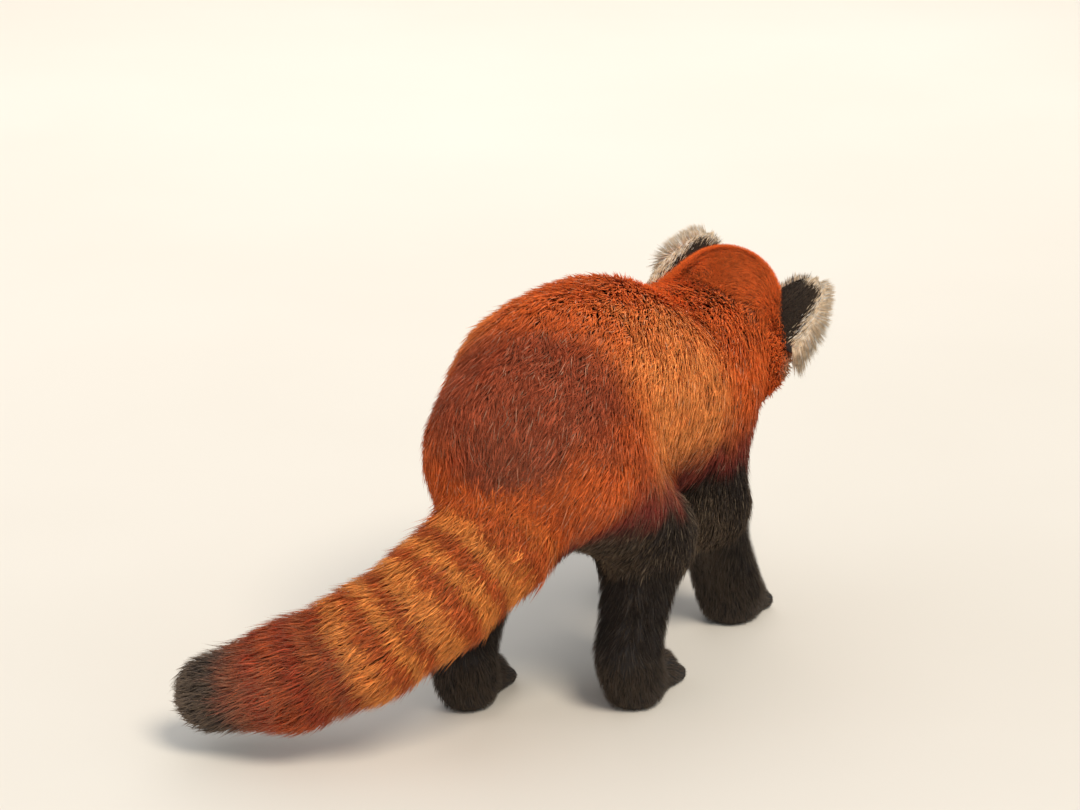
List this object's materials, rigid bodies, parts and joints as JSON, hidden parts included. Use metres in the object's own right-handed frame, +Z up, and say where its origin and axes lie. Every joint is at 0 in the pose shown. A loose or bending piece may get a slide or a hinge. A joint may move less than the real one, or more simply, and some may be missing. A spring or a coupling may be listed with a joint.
{
  "type": "still model of a walking red panda",
  "caption": "Life-size still model of a red panda in mid walk, back arched, head low and tilted, ringed bushy tail swung to its left.",
  "frame": {"origin": "middle of the outline's footprint, on the floor under the paws", "axes": "+Z up, the animal faces -Y, +X is its left side, where the tail swings"},
  "size_m": [0.4, 0.646, 0.3506],
  "materials": {
    "red_coat": "long soft fur, rust red to orange",
    "tail_coat": "long bushy fur in light and dark rings",
    "dark_coat": "brown-black fur",
    "ear_coat": "short cream fur with long edge hairs, black behind",
    "nose": "damp, finely pebbled black skin",
    "eye": "wet dark brown",
    "claw": "pale horn, semi-gloss"
  },
  "bodies": {
    "root": {"torso": "red_coat", "neck": "red_coat", "head": "red_coat", "tail_base": "tail_coat", "tail_middle": "tail_coat", "tail_tip": "tail_coat", "ear_left": "ear_coat", "ear_right": "ear_coat", "eye_left": "eye", "eye_right": "eye", "nose": "nose", "foreleg_left": "dark_coat", "upper_foreleg_left": "red_coat", "thigh_left": "red_coat", "forepaw_left": "dark_coat", "hindleg_left": "dark_coat", "hindpaw_left": "dark_coat", "foreleg_right": "dark_coat", "upper_foreleg_right": "red_coat", "thigh_right": "red_coat", "forepaw_right": "dark_coat", "hindleg_right": "dark_coat", "hindpaw_right": "dark_coat"}
  },
  "joints": []
}
